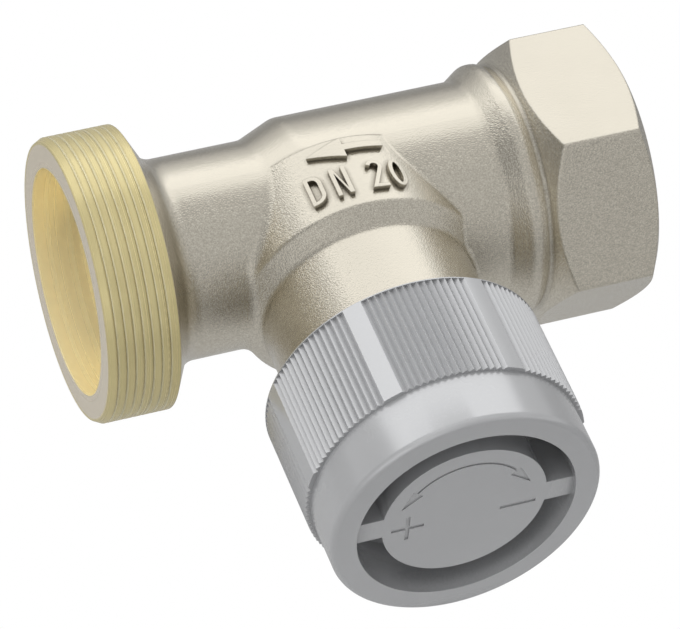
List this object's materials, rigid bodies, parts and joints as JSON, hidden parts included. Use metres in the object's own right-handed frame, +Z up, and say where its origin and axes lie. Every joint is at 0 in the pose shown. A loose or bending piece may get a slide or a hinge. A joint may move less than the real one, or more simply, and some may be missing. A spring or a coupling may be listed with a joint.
{
  "type": "radiator valve",
  "caption": "Straight radiator valve: nickel-plated brass body with a hexagon inlet, a threaded union outlet and a ribbed hand cap that lifts the spindle.",
  "frame": {"origin": "centre of the inlet mouth, in the plane of the hexagon's end face", "axes": "+X out of the inlet along the pipe, -Y along the bonnet towards the cap, +Z up"},
  "size_m": [0.0666, 0.0626, 0.0332],
  "materials": {
    "nickel_plated_body": "satin nickel plate over forged brass, with the union thread and bore machined bare",
    "bare_brass": "turned bare brass",
    "stainless_steel": "ground stainless steel",
    "seal_rubber": "matt black rubber",
    "guide_plastic": "smooth white bearing plastic",
    "cap_plastic": "moulded mid-grey plastic, satin"
  },
  "bodies": {
    "valve": {"valve_body": "nickel_plated_body", "insert_housing": "bare_brass", "housing_seal_ring": "seal_rubber", "guide_bush": "guide_plastic", "return_spring": "stainless_steel", "gland_screw": "bare_brass", "gland_seal_ring": "seal_rubber", "lower_pin_ring": "seal_rubber", "spacer_ring": "guide_plastic", "upper_pin_ring": "seal_rubber", "gland_washer": "bare_brass"},
    "spindle": {"spring_plate": "bare_brass", "retaining_ring": "stainless_steel", "spindle": "bare_brass", "pressure_pin": "stainless_steel", "disc_holder": "bare_brass", "seat_disc": "seal_rubber", "disc_washer": "stainless_steel", "disc_screw": "stainless_steel"},
    "cap": {"protective_cap": "cap_plastic"}
  },
  "joints": [
    {"name": "spindle_lift", "type": "slide", "parent": "valve", "child": "spindle", "axis": [0, -1, 0], "range_m": [0, 0.003], "deforming": ["return_spring"]},
    {"name": "cap_turn", "type": "hinge", "parent": "spindle", "child": "cap", "pos_m": [-0.0346, -0.035, 0], "axis": [0, -1, 0], "range_deg": [0, 720]}
  ],
  "couplings": [
    {"joint": "spindle_lift", "follows": "cap_turn", "m_per_rad": 0.0002387}
  ]
}
